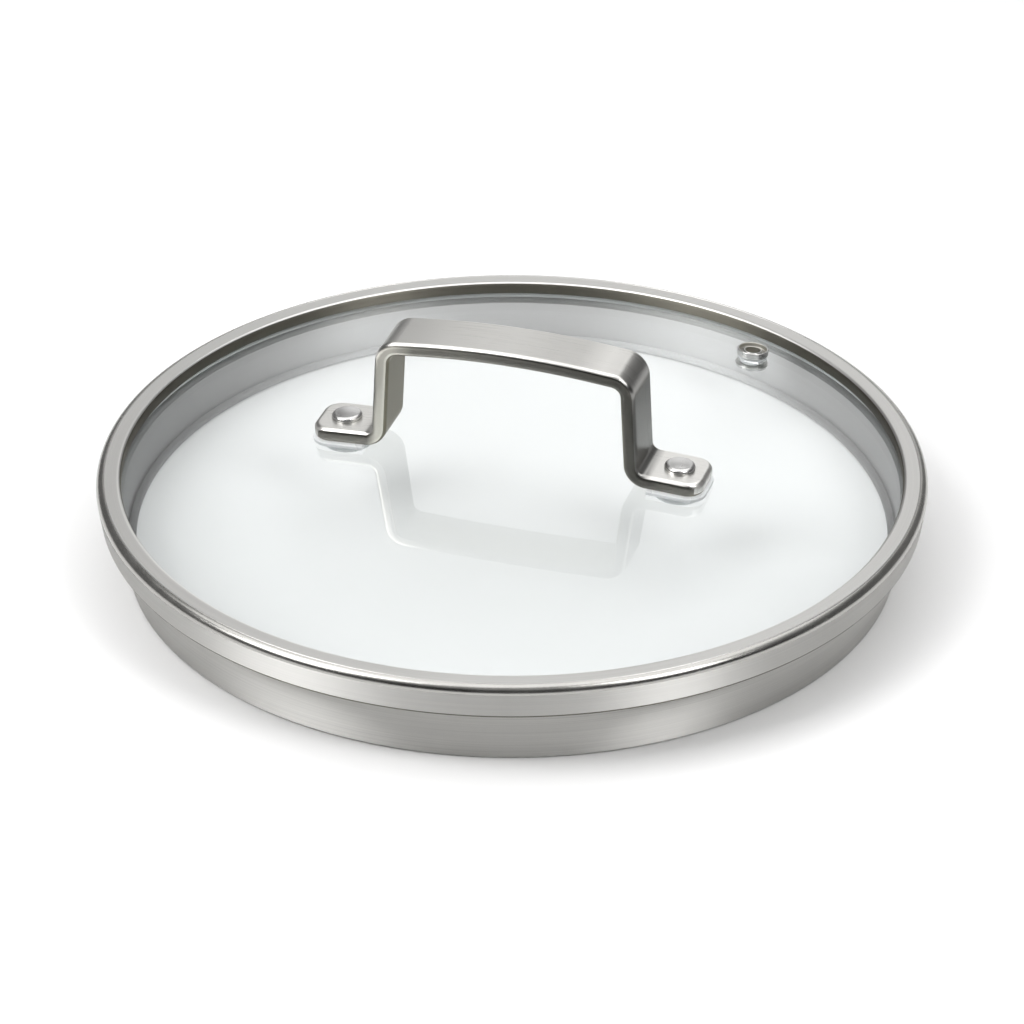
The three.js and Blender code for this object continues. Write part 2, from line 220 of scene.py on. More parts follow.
def rounded(corners):
    """Closed outline through (x, z, radius) corners, each rounded by its radius."""
    outline = []
    count = len(corners)
    for i, (x, z, radius) in enumerate(corners):
        here = Vector((x, z))
        if radius == 0:
            outline.append(here)
            continue
        around = [Vector(corners[i - 1][:2]), here, Vector(corners[(i + 1) % count][:2])]
        arc = bent_line([(*around[0], 0), (*here, radius), (*around[2], 0)])[1:-1]
        reach_before = (around[0] - here).length
        reach_after = (around[2] - here).length
        tangent = (arc[1][0] - here).length
        if tangent + SUPPORT > reach_before / 2:
            arc = arc[1:]
        if tangent + SUPPORT > reach_after / 2:
            arc = arc[:-1]
        outline += [point for point, _ in arc]
    return outline


# ---- meshes ----
def lathe(outline, segments):
    """Vertices and faces of a closed outline of (radius, height) points turned round Z."""
    count = len(outline)
    angles = [2 * math.pi * i / segments for i in range(segments)]
    vertices = [(r * math.cos(a), r * math.sin(a), z) for a in angles for r, z in outline]
    faces = []
    for i in range(segments):
        here, there = i * count, (i + 1) % segments * count
        for j in range(count):
            k = (j + 1) % count
            faces.append((here + j, there + j, there + k, here + k))
    return vertices, faces


def ring_faces(levels, count):
    """Faces between rings of points, one ring at each level."""
    faces = []
    for level in range(levels - 1):
        here, there = level * count, (level + 1) * count
        for i in range(count):
            k = (i + 1) % count
            faces.append((here + i, here + k, there + k, there + i))
    return faces


def placed(part, matrix):
    """A part moved by a matrix."""
    vertices, faces = part
    return [matrix @ Vector(v) for v in vertices], faces


def closed_mesh(name, part):
    """A mesh in metres of a part in mm, with its doubled points merged and its faces pointing out."""
    vertices, faces = part
    mesh = bpy.data.meshes.new(name)
    mesh.from_pydata([Vector(v) * MM for v in vertices], [], faces)
    shape = bmesh.new()
    shape.from_mesh(mesh)
    bmesh.ops.remove_doubles(shape, verts=shape.verts, dist=MERGE_DISTANCE)
    bmesh.ops.dissolve_degenerate(shape, edges=shape.edges, dist=MERGE_DISTANCE)
    bmesh.ops.recalc_face_normals(shape, faces=shape.faces)
    shape.to_mesh(mesh)
    shape.free()
    return mesh


def add_object(name, data):
    """Puts a mesh, lamp or camera into the scene."""
    thing = bpy.data.objects.new(name, data)
    bpy.context.scene.collection.objects.link(thing)
    return thing


def add_piece(name, part, nodes, materials):
    """Makes a piece that stands for CAD nodes. Its tight corners stay crisp."""
    mesh = closed_mesh(name, part)
    mesh.shade_smooth()
    mesh.set_sharp_from_angle(angle=CRISP_ANGLE)
    for material in materials:
        mesh.materials.append(material)
    piece = add_object(name, mesh)
    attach(piece, "root")
    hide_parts(*nodes)
    return piece


def paint(piece, index_of):
    """Gives each face of a piece the material that index_of names, from its centre in mm and its normal."""
    for face in piece.data.polygons:
        face.material_index = index_of(face.center / MM, face.normal)


def outward(centre, normal):
    """How far a normal points away from the lid's axis."""
    return normal.xy.dot(centre.xy.normalized())


# ---- the dome of the glass ----
def glass_top(radius):
    """Height of the top of the glass at a distance from the lid's axis."""
    return GLASS_CROWN - DOME_RADIUS + math.sqrt(DOME_RADIUS**2 - radius**2)


def on_glass(orbit, angle):
    """The frame of a point on top of the glass, with its Z axis square to the glass."""
    place = Matrix.Translation((orbit * math.cos(angle), orbit * math.sin(angle), glass_top(orbit)))
    tilt = Matrix.Rotation(math.asin(orbit / DOME_RADIUS), 4, "Y")
    return place @ Matrix.Rotation(angle, 4, "Z") @ tilt


RIGHT = on_glass(RIVET_ORBIT, 0)
LEFT = on_glass(RIVET_ORBIT, math.pi)
VENT = on_glass(VENT_ORBIT, VENT_ANGLE)


# ---- material helpers ----
class Tree:
    """Short ways to add nodes to a node tree."""

    def __init__(self, tree):
        self.tree = tree

    def add(self, kind, **settings):
        node = self.tree.nodes.new("ShaderNode" + kind)
        for key, value in settings.items():
            setattr(node, key, value)
        return node

    def link(self, source, target):
        self.tree.links.new(source, target)

    def math(self, operation, a, b=None):
        node = self.add("Math", operation=operation)
        for socket, value in zip(node.inputs, (a, b)):
            if isinstance(value, (int, float)):
                socket.default_value = value
            elif value is not None:
                self.link(value, socket)
        return node.outputs[0]

    def ranged(self, value, low, high, out_low, out_high):
        node = self.add("MapRange")
        self.link(value, node.inputs["Value"])
        for key, number in zip(("From Min", "From Max", "To Min", "To Max"), (low, high, out_low, out_high)):
            node.inputs[key].default_value = number
        return node.outputs["Result"]

    def ramp(self, value, stops):
        node = self.add("ValToRGB")
        elements = node.color_ramp.elements
        while len(elements) < len(stops):
            elements.new(0.5)
        for element, (position, colour) in zip(elements, stops):
            element.position = position
            element.color = (*colour, 1)
        self.link(value, node.inputs["Fac"])
        return node.outputs["Color"]

    def grey_ramp(self, value, stops):
        return self.ramp(value, [(position, (tone, tone, tone)) for position, tone in stops])

    def noise(self, vector, scale, detail=2.0, w=None):
        node = self.add("TexNoise", noise_dimensions="3D" if w is None else "4D")
        self.link(vector, node.inputs["Vector"])
        node.inputs["Scale"].default_value = scale
        node.inputs["Detail"].default_value = detail
        if w is not None:
            self.link(w, node.inputs["W"])
        return node.outputs["Fac"]


class Nodes(Tree):
    """A material with a Principled shader."""

    def __init__(self, name):
        self.material = bpy.data.materials.new(name)
        self.material.use_nodes = True
        super().__init__(self.material.node_tree)
        self.shader = self.tree.nodes["Principled BSDF"]
        self.output = self.tree.nodes["Material Output"]

    def parts(self):
        """X, Y and Z of the place on the piece."""
        node = self.add("SeparateXYZ")
        self.link(self.add("TexCoord").outputs["Object"], node.inputs[0])
        return node.outputs

    def painted_light_along_x(self, colour, painted_light):
        """The colour, brightened and dimmed along X by painted light and painted shade, to a share for each
        (x in mm, share).
        """
        start, end = painted_light[0][0], painted_light[-1][0]
        place = self.ranged(self.parts()[0], start * MM, end * MM, 0, 1)
        share = self.grey_ramp(place, [((x - start) / (end - start), tone) for x, tone in painted_light])
        dimmed = self.add("VectorMath", operation="MULTIPLY")
        self.link(colour, dimmed.inputs[0])
        self.link(share, dimmed.inputs[1])
        return dimmed.outputs[0]

    def bump(self, height, strength, distance):
        node = self.add("Bump")
        node.inputs["Strength"].default_value = strength
        node.inputs["Distance"].default_value = distance
        self.link(height, node.inputs["Height"])
        self.link(node.outputs["Normal"], self.shader.inputs["Normal"])


# noise waves per metre: along the hair lines and across them
RING_WAVES = (14.0, 4200.0)
STRAP_WAVES = (40.0, 5200.0)
EDGE_WAVES = (2600.0, 5200.0)


def stretched_noise(nodes, parts, scales, w=None):
    """Noise of the place on the piece, with its own scale along X, Y and Z."""
    vector = nodes.add("CombineXYZ")
    for place, scale, socket in zip(parts, scales, vector.inputs):
        nodes.link(nodes.math("MULTIPLY", place, scale), socket)
    return nodes.noise(vector.outputs[0], 1.0, 3.0, w)


def ring_hairs(nodes):
    """Hair lines that run round the lid's axis."""
    along, across = RING_WAVES
    parts = nodes.parts()
    x, y = parts[0], parts[1]
    radius = nodes.math("SQRT", nodes.math("ADD", nodes.math("MULTIPLY", x, x), nodes.math("MULTIPLY", y, y)))
    return stretched_noise(nodes, parts, (along, along, across), nodes.math("MULTIPLY", radius, across))


def strap_hairs(nodes):
    """Hair lines that run along the handle's strap."""
    along, across = STRAP_WAVES
    return stretched_noise(nodes, nodes.parts(), (along, across, along))


def edge_hairs(nodes):
    """The fine even grain of the strap's edges."""
    along, across = EDGE_WAVES
    return stretched_noise(nodes, nodes.parts(), (along, across, along))


def smudges(nodes, scale):
    """Soft cloudy noise: handling marks and uneven polish."""
    return nodes.noise(nodes.add("TexCoord").outputs["Object"], scale, 4.0)


def steel_tones(tone, warmth, contrast):
    """Darkest and lightest colour of a steel. Warmth takes blue, and half as much green, out of it."""
    tint = (1, 1 - warmth / 2, 1 - 2 * warmth)
    return [tuple(tone * k * share for share in tint) for k in (1 - contrast, 1 + contrast)]


def brushed_steel(name, grain_of, tone, roughness, anisotropy,
                  contrast=0.05, warmth=0.02, axis="Z", painted_light=()):
    """Satin steel brushed round an axis. The grain changes its tone, which is its brightness, and its gloss.

    Painted light lists (x in mm, share of the tone) along the handle: painted highlights and painted shade in
    place of reflections.
    """
    nodes = Nodes(name)
    grain = grain_of(nodes)
    cloud = smudges(nodes, 22.0)
    shader = nodes.shader
    shader.inputs["Metallic"].default_value = 1.0
    shader.inputs["Anisotropic"].default_value = anisotropy
    shader.inputs["Anisotropic Rotation"].default_value = 0.25
    mixed = nodes.math("ADD", nodes.math("MULTIPLY", grain, 0.7), nodes.math("MULTIPLY", cloud, 0.3))
    dark, light = steel_tones(tone, warmth, contrast)
    colour = nodes.ramp(mixed, [(0.3, dark), (0.7, light)])
    if painted_light:
        colour = nodes.painted_light_along_x(colour, painted_light)
    nodes.link(colour, shader.inputs["Base Color"])
    rough = nodes.ranged(mixed, 0.3, 0.7, roughness - 0.04, roughness + 0.04)
    nodes.link(rough, shader.inputs["Roughness"])
    tangent = nodes.add("Tangent", direction_type="RADIAL", axis=axis)
    nodes.link(tangent.outputs[0], shader.inputs["Tangent"])
    nodes.bump(grain, 0.04, 0.00002)
    return nodes.material


def polished_steel(name, tone, roughness, warmth=0.01):
    """Steel with a clear shine and no grain."""
    nodes = Nodes(name)
    cloud = smudges(nodes, 90.0)
    shader = nodes.shader
    shader.inputs["Metallic"].default_value = 1.0
    dark, light = steel_tones(tone, warmth, 0.04)
    nodes.link(nodes.ramp(cloud, [(0.35, dark), (0.65, light)]), shader.inputs["Base Color"])
    nodes.link(nodes.ranged(cloud, 0.3, 0.7, roughness, roughness + 0.05), shader.inputs["Roughness"])
    nodes.bump(smudges(nodes, 420.0), 0.006, 0.00005)
    return nodes.material


GLASS_TINTS = ((0.885, 0.903, 0.9), (0.895, 0.914, 0.911))
LIGHT_THROUGH_GLASS = (0.96, 0.966, 0.966)


def clear_glass(name, index, coat):
    """Tempered glass with a faint tint. Lamp light and diffuse light go straight through it."""
    nodes = Nodes(name)
    cloud = smudges(nodes, 14.0)
    shader = nodes.shader
    shader.inputs["Transmission Weight"].default_value = 1.0
    shader.inputs["IOR"].default_value = index
    shader.inputs["Coat Weight"].default_value = coat
    shader.inputs["Coat Roughness"].default_value = 0.0
    dark, light = GLASS_TINTS
    nodes.link(nodes.ramp(cloud, [(0.3, dark), (0.7, light)]), shader.inputs["Base Color"])
    nodes.link(nodes.ranged(cloud, 0.35, 0.75, 0.0, 0.008), shader.inputs["Roughness"])
    nodes.bump(smudges(nodes, 9.0), 0.01, 0.0003)
    through = nodes.add("BsdfTransparent")
    through.inputs["Color"].default_value = (*LIGHT_THROUGH_GLASS, 1)
    path = nodes.add("LightPath")
    straight = nodes.math("MAXIMUM", path.outputs["Is Shadow Ray"], path.outputs["Is Diffuse Ray"])
    mix = nodes.add("MixShader")
    nodes.link(straight, mix.inputs[0])
    nodes.link(shader.outputs[0], mix.inputs[1])
    nodes.link(through.outputs[0], mix.inputs[2])
    nodes.link(mix.outputs[0], nodes.output.inputs["Surface"])
    return nodes.material


def clear_silicone(name, tone, transmission, roughness):
    """Milky clear rubber."""
    nodes = Nodes(name)
    cloud = smudges(nodes, 160.0)
    shader = nodes.shader
    shader.inputs["Transmission Weight"].default_value = transmission
    shader.inputs["IOR"].default_value = 1.41
    dark, light = (tuple(tone * k * w for w in (0.97, 0.99, 1)) for k in (0.97, 1.03))
    nodes.link(nodes.ramp(cloud, [(0.3, dark), (0.7, light)]), shader.inputs["Base Color"])
    nodes.link(nodes.ranged(cloud, 0.3, 0.7, roughness - 0.06, roughness + 0.06), shader.inputs["Roughness"])
    nodes.bump(smudges(nodes, 600.0), 0.03, 0.0001)
    return nodes.material


# painted light and painted shade along the handle's top, in place of reflections: (x in mm, share of the
# steel's tone)
STRAP_PAINTED_LIGHT = (
    (-60, 0.96), (-46, 0.96), (-40, 0.62), (-33, 0.66), (-22, 0.75), (-8, 0.8), (2, 0.8), (14, 0.72),
    (22, 0.72), (30, 0.95), (35, 0.88), (38, 0.55), (40, 0.35), (43, 0.35), (46, 1.0), (60, 1.0),
)
# painted light and painted shade on the strap's side faces: a painted highlight on the left leg's front edge,
# painted shade elsewhere: (x in mm, share of the tone)
EDGE_PAINTED_LIGHT = (
    (-50, 0.3), (-43, 0.3), (-40, 1.0), (-35, 1.0), (-28, 0.38), (0, 0.24), (30, 0.16), (44, 0.15),
    (50, 0.25),
)

# brushed: name, grain, tone, roughness, anisotropy, contrast, warmth, axis, painted light along the handle
# polished: name, tone, roughness, warmth
FLANGE_STEEL = brushed_steel("flange_satin", ring_hairs, 0.66, 0.32, 0.3)
BAND_STEEL = brushed_steel("band_satin", ring_hairs, 0.82, 0.58, 1.0)
# painted shade: the lip's inside and the crease under the band get a dark warm steel tone
PAINTED_SHADE_STEEL = brushed_steel("lip_and_crease_painted_shade", ring_hairs, 0.2, 0.5, 1.0, warmth=0.1)
SHOULDER_STEEL = polished_steel("shoulder_polished", 0.43, 0.23, 0.03)
SKIRT_STEEL = brushed_steel("skirt_satin", ring_hairs, 0.8, 0.6, 1.0, 0.08)
# painted shade: the skirt's inside is the same brushed steel as its outside, at a darker tone
SKIRT_INSIDE_SHADE_STEEL = brushed_steel("skirt_inside_painted_shade", ring_hairs, 0.49, 0.58, 1.0, 0.08, 0.0)
STRAP_STEEL = brushed_steel("strap_satin", strap_hairs, 0.8, 0.3, 0.7, 0.03, 0.025, "Y", STRAP_PAINTED_LIGHT)
# the strap's side faces: brushed steel with painted shade and a painted highlight along X
STRAP_EDGE_STEEL = brushed_steel("strap_edge_painted_light", edge_hairs, 0.78, 0.3, 0.5, 0.03, 0.06, "Y", EDGE_PAINTED_LIGHT)
# painted shade: faces of the strap that turn inward or down, the inside of the legs and the bar's underside,
# are given a dark steel tone
STRAP_SHADE_STEEL = brushed_steel("strap_inner_painted_shade", edge_hairs, 0.2, 0.35, 0.5, 0.03, 0.14, "Y")
WASHER_STEEL = brushed_steel("washer_satin", ring_hairs, 0.6, 0.3, 0.3)
RIVET_STEEL = polished_steel("rivet_polished", 0.62, 0.24)
BORE_STEEL = polished_steel("bore_satin", 0.5, 0.5, 0.06)
GLASS = clear_glass("glass_top", 1.5, 1.0)
GLASS_UNDER = clear_glass("glass_underside", 1.37, 0.0)
SILICONE = clear_silicone("pad_silicone", 0.95, 0.2, 0.3)
SEAL_SILICONE = clear_silicone("seal_silicone", 0.72, 0.05, 0.35)


# ---- rim ----
def make_rim():
    half = SHEET / 2
    flange_z = RIM_TOP - half
    ledge_z = LEDGE_Z + half
    lip_x = LIP_RADIUS + half
    outline = strip([
        (lip_x, RIM_TOP - LIP_DROP, 0),
        (lip_x, flange_z, TIGHT_BEND),
        (RIM_RADIUS - half + SHOULDER_LEAN, flange_z, SHOULDER_BEND),
        (BAND_FOOT_RADIUS - half, ledge_z, LEDGE_BEND),
        (LEDGE_RADIUS, ledge_z, 0),
    ], SHEET)
    piece = add_piece("steel_rim", lathe(outline, RING_SEGMENTS), ["rim_ring"],
                      [FLANGE_STEEL, SHOULDER_STEEL, PAINTED_SHADE_STEEL, BAND_STEEL])
    bend = SHOULDER_BEND + half
    flange, shoulder, dark, band = range(4)

    def zone(centre, normal):
        away = outward(centre, normal)
        # the lip's inside and the crease under the band: painted shade
        if centre.xy.length < LIP_RADIUS + TIGHT_BEND and away < -LIP_INWARD:
            return dark
        if away > CREASE_OUTWARD and normal.z < -CREASE_DOWNWARD:
            return dark
        if centre.xy.length < RIM_RADIUS - bend or away < 0:
            return flange
        return shoulder if centre.z > RIM_TOP - bend and away > SHOULDER_OUTWARD else band

    paint(piece, zone)


# ---- skirt ----
def make_skirt():
    half = SHEET / 2
    flange_z = SKIRT_TOP - half
    foot_x = SKIRT_FOOT_RADIUS - half
    hem_x = HEM_RADIUS + half
    hem_top = HEM_HEIGHT - half
    outline = strip([
        (SKIRT_FLANGE_RADIUS, flange_z, 0),
        (SKIRT_TOP_RADIUS - half, flange_z, TIGHT_BEND),
        (foot_x, SKIRT_FOOT + half, HEM_BEND),
        (hem_x, SKIRT_FOOT + half, HEM_BEND),
        (hem_x, hem_top, HEM_BEND),
        (foot_x - HEM_MOUTH, hem_top, 0),
    ], SHEET)
    piece = add_piece("steel_skirt", lathe(outline, RING_SEGMENTS), ["skirt_ring"],
                      [SKIRT_STEEL, SKIRT_INSIDE_SHADE_STEEL])

    # faces inside the skirt get the painted shade copy of its steel
    def zone(centre, normal):
        return int(centre.xy.length < SKIRT_FOOT_RADIUS - half or outward(centre, normal) < 0)

    paint(piece, zone)


# ---- glass ----
def circle(centre, radius, count):
    """Points round a circle."""
    turns = [2 * math.pi * i / count for i in range(count)]
    return [centre + Vector((radius * math.cos(t), radius * math.sin(t))) for t in turns]


def glass_plan():
    """The glass seen from above: points, triangles and the closed loops of its edge and holes."""
    holes = [
        (RIGHT.translation.xy, GLASS_HOLE_RADIUS),
        (LEFT.translation.xy, GLASS_HOLE_RADIUS),
        (VENT.translation.xy, VENT_HOLE_RADIUS),
    ]
    points = circle(Vector((0, 0)), GLASS_RADIUS, RING_SEGMENTS)
    loops = [list(range(RING_SEGMENTS))]
    for centre, radius in holes:
        start = len(points)
        points += circle(centre, radius, SMALL_SEGMENTS)
        loops.append(list(range(start, start + SMALL_SEGMENTS)))
        points += circle(centre, radius + HOLE_COLLAR, SMALL_SEGMENTS // 2)
    rings = int(GLASS_RADIUS / GLASS_SPACING)
    for k in range(rings):
        radius = GLASS_SPACING * k
        ring = circle(Vector((0, 0)), radius, max(1, round(2 * math.pi * radius / GLASS_SPACING)))
        points += [p for p in ring if all((p - c).length > r + GLASS_CLEAR for c, r in holes)]
    edges = [(loop[i - 1], loop[i]) for loop in loops for i in range(len(loop))]
    flat, _, triangles, *_ = delaunay_2d_cdt(points, edges, [], 0, SAME_POINT)

    def solid(triangle):
        middle = sum((flat[i] for i in triangle), Vector((0, 0))) / 3
        return all((middle - centre).length > radius for centre, radius in holes)

    return flat, [t for t in triangles if solid(t)], loops


def make_glass():
    flat, triangles, loops = glass_plan()
    count = len(flat)
    top = [(p.x, p.y, glass_top(min(p.length, GLASS_RADIUS))) for p in flat]
    bottom = [(x, y, z - GLASS_THICKNESS) for x, y, z in top]
    faces = [tuple(t) for t in triangles]
    faces += [tuple(count + i for i in reversed(t)) for t in triangles]
    for loop in loops:
        faces += [(loop[i - 1], loop[i], count + loop[i], count + loop[i - 1]) for i in range(len(loop))]
    piece = add_piece("glass_pane", (top + bottom, faces), ["glass_disc"], [GLASS, GLASS_UNDER])
    paint(piece, lambda centre, normal: int(normal.z < -UNDERSIDE_DOWNWARD))


def make_edge_seal():
    roof = RIM_TOP - SHEET - FIT_GAP / 2
    lip_x = LIP_RADIUS + SHEET + FIT_GAP / 2
    bed_x = SKIRT_TOP_RADIUS + FIT_GAP
    edge_x = GLASS_RADIUS + FIT_GAP
    above = glass_top(lip_x) + FIT_GAP / 2
    under = GLASS_FOOT - FIT_GAP / 2
    floor_z = SKIRT_TOP + FIT_GAP / 2
    outline = rounded([
        (lip_x, above, 0.1),
        (edge_x, above, 0.2),
        (edge_x, under, 0.2),
        (bed_x, under, 0.2),
        (bed_x, floor_z, 0.1),
        (edge_x + SEAL_WALL, floor_z, 0.3),
        (edge_x + SEAL_WALL, roof, 0.3),
        (lip_x, roof, 0.1),
    ])
    add_piece("edge_seal", lathe(outline, RING_SEGMENTS // 2), ["glass_edge_seal"],
              [SEAL_SILICONE])


# ---- handle ----
def handle_line():
    """The strap's middle line in the XZ plane, from tip to tip of its feet, with its normals."""
    rivet = (RIGHT @ Matrix.Translation((0, 0, STRAP_UNDER + STRAP_THICKNESS / 2))).translation
    slope = -math.tan(math.asin(RIVET_ORBIT / DOME_RADIUS))
    apex = BAR_TOP - STRAP_THICKNESS / 2

    def foot_z(x):
        return rivet.z + slope * (x - rivet.x)

    def arch(x):
        rise = math.sqrt(BAR_ARCH_RADIUS**2 - x**2)
        return Vector((x, apex - BAR_ARCH_RADIUS + rise)), Vector((x, rise)) / BAR_ARCH_RADIUS

    arch_end = LEG_TOP_X - 2 * BAR_BEND
    end_point, end_normal = arch(arch_end)
    shoulder_z = end_point.y - (LEG_TOP_X - arch_end) * end_normal.x / end_normal.y
    foot_and_leg = bent_line([
        (-FOOT_REACH, foot_z(FOOT_REACH), 0),
        (-LEG_FOOT_X, foot_z(LEG_FOOT_X), FOOT_BEND),
        (-LEG_TOP_X, shoulder_z, BAR_BEND),
        (-arch_end, end_point.y, 0),
    ])
    bar = [arch(-arch_end * (1 - k / BAR_STEPS)) for k in range(1, BAR_STEPS)]
    left = [*foot_and_leg, *bar]
    right = [(Vector((-p.x, p.y)), Vector((-n.x, n.y))) for p, n in reversed(left)]
    return [*left, arch(0), *right]


class StrapLine:
    """The strap's middle line, measured by the distance along it."""

    def __init__(self):
        self.line = handle_line()
        self.lengths = [0.0]
        for (a, _), (b, _) in zip(self.line, self.line[1:]):
            self.lengths.append(self.lengths[-1] + (b - a).length)
        self.total = self.lengths[-1]

    def at(self, length, height):
        """Point in the XZ plane a distance along the middle line and a height off it."""
        length = min(max(length, 0), self.total)
        k = max(i for i in range(len(self.lengths) - 1) if self.lengths[i] <= length)
        share = (length - self.lengths[k]) / max(self.lengths[k + 1] - self.lengths[k], 1e-9)
        point = self.line[k][0].lerp(self.line[k + 1][0], share)
        normal = self.line[k][1].lerp(self.line[k + 1][1], share).normalized()
        return point + normal * height

    def side(self, inset):
        """Distances along and half widths across, from end to end, of the strap's edge set in by an inset."""
        corner = FOOT_CORNER - inset
        arm = STRAP_WIDTH / 2 - FOOT_CORNER
        turns = quarter(CORNER_STEPS)
        first, last = FOOT_CORNER, self.total - FOOT_CORNER
        start = [(first - corner * math.sin(t), arm + corner * math.cos(t)) for t in reversed(turns)]
        body = [(s, STRAP_WIDTH / 2 - inset) for s in self.lengths if first < s < last]
        end = [(last + corner * math.sin(t), arm + corner * math.cos(t)) for t in turns]
        return start + body + end


def strap_levels():
    """(inset, height) steps over the strap's edge, from its underside to its top."""
    half = STRAP_THICKNESS / 2
    flat = half - STRAP_EDGE
    turns = quarter(STRAP_EDGE_STEPS)
    lower = [(STRAP_EDGE * (1 - math.cos(t)), -flat - STRAP_EDGE * math.sin(t)) for t in reversed(turns)]
    upper = [(STRAP_EDGE * (1 - math.cos(t)), flat + STRAP_EDGE * math.sin(t)) for t in turns]
    inner = STRAP_EDGE + SUPPORT
    return [(inner, -half), *lower, (0, -flat + SUPPORT), (0, flat - SUPPORT), *upper, (inner, half)]


def strap_shape():
    """Vertices and faces of the strap: a ring of points at each level and a strip of quads over each face."""
    line = StrapLine()
    levels = strap_levels()
    vertices = []
    for inset, height in levels:
        edge = line.side(inset)
        for sign, run in ((1, edge), (-1, reversed(edge))):
            for length, width in run:
                point = line.at(length, height)
                vertices.append((point.x, sign * width, point.y))
    ring = len(vertices) // len(levels)
    faces = ring_faces(len(levels), ring)
    for base in (0, (len(levels) - 1) * ring):
        for i in range(ring // 2 - 1):
            faces.append((base + i, base + i + 1, base + ring - 2 - i, base + ring - 1 - i))
    return vertices, faces


def make_handle():
    piece = add_piece("strap_handle", strap_shape(), ["handle_strap"],
                      [STRAP_STEEL, STRAP_EDGE_STEEL, STRAP_SHADE_STEEL])
    drill(piece, [LEFT, RIGHT], RIVET_SHANK_RADIUS + FIT_GAP)
    piece.visible_shadow = False  # the table under the glass stays evenly bright
    top, edge, inner = range(3)

    # sideways faces get the side steel with its painted light; faces turned inward or down get painted shade
    def zone(centre, normal):
        if abs(normal.y) > STRAP_EDGE_SIDEWAYS:
            return edge
        inward = -math.copysign(normal.x, normal.x * centre.x)
        return inner if max(inward, -normal.z) > STRAP_INNER_FACING else top

    paint(piece, zone)


def drill(piece, places, radius):
    """Cuts round bores through a piece, square to the glass at each place."""
    outline = [(0.0, -DRILL_REACH), (radius, -DRILL_REACH), (radius, DRILL_REACH), (0.0, DRILL_REACH)]
    for place in places:
        tool = add_object("drill", closed_mesh("drill", placed(lathe(outline, SMALL_SEGMENTS), place)))
        cut = piece.modifiers.new("bore", "BOOLEAN")
        cut.operation = "DIFFERENCE"
        cut.solver = "EXACT"
        cut.object = tool
        bpy.context.view_layer.update()
        evaluated = piece.evaluated_get(bpy.context.evaluated_depsgraph_get())
        cut_mesh = bpy.data.meshes.new_from_object(evaluated)
        piece.modifiers.clear()
        piece.data = cut_mesh
        bpy.data.objects.remove(tool)
    piece.data.set_sharp_from_angle(angle=CRISP_ANGLE)


# ---- rivets and what they clamp ----
def button(radius, height):
    """Half the profile of a rivet head, from its rim on the seat up to its crown."""
    wall = BUTTON_WALL * height
    rise = BUTTON_SHOULDER * height
    inner = radius - BUTTON_EASE * height
    turns = quarter(BUTTON_STEPS)
    shoulder = [(inner + (radius - inner) * math.cos(t), wall + rise * math.sin(t)) for t in turns]
    shares = [k / CROWN_STEPS for k in range(CROWN_STEPS - 1, -1, -1)]
    crown = [(inner * share, height - (height - wall - rise) * share**2) for share in shares]
    return [(radius, 0.0), (radius, wall / 2), *shoulder, *crown]


def make_rivet(side, place):
    seat = STRAP_UNDER + STRAP_THICKNESS
    washer_foot = -GLASS_THICKNESS - 3 * FIT_GAP - 2 * WASHER_THICKNESS
    tail = [(r, washer_foot - z) for r, z in button(RIVET_TAIL_RADIUS, RIVET_TAIL_HEIGHT)]
    head = [(r, seat + z) for r, z in button(RIVET_HEAD_RADIUS, RIVET_HEAD_HEIGHT)]
    outline = [*reversed(tail), (RIVET_SHANK_RADIUS, washer_foot), (RIVET_SHANK_RADIUS, seat), *head]
    add_piece(f"{side}_rivet", placed(lathe(outline, SMALL_SEGMENTS), place), [f"rivet_{side}"],
              [RIVET_STEEL])


def washer(inner, outer, bottom, top):
    """A washer or sleeve with eased edges."""
    ease = min(WASHER_EASE, (top - bottom) / 3)
    corners = [(inner, bottom), (outer, bottom), (outer, top), (inner, top)]
    return lathe(rounded([(r, z, ease) for r, z in corners]), SMALL_SEGMENTS)


def slab(edge_of, levels):
    """A flat piece with rounded edges, from (inset, height) levels. edge_of gives its outline set in."""
    loops = [[(x, y, height) for x, y in edge_of(inset)] for inset, height in levels]
    count = len(loops[0])
    vertices = [v for loop in loops for v in loop]
    ends = [tuple(reversed(range(count))), tuple(range((len(loops) - 1) * count, len(loops) * count))]
    return vertices, ends + ring_faces(len(loops), count)


def pad_edge(inset):
    """The pad's outline in the rivet's frame, set in by an inset."""
    half = STRAP_WIDTH / 2 + PAD_MARGIN
    tip = FOOT_REACH - RIVET_ORBIT + PAD_MARGIN
    heel = LEG_FOOT_X + FOOT_BEND - RIVET_ORBIT
    corner = FOOT_CORNER + PAD_MARGIN
    turns = quarter(CORNER_STEPS)
    arm_x, arm_y, bend = tip - corner, half - corner, corner - inset
    lower = [(arm_x + bend * math.sin(t), -arm_y - bend * math.cos(t)) for t in turns]
    upper = [(arm_x + bend * math.cos(t), arm_y + bend * math.sin(t)) for t in turns]
    return [(heel + inset, half - inset), (heel + inset, inset - half), *lower, *upper]


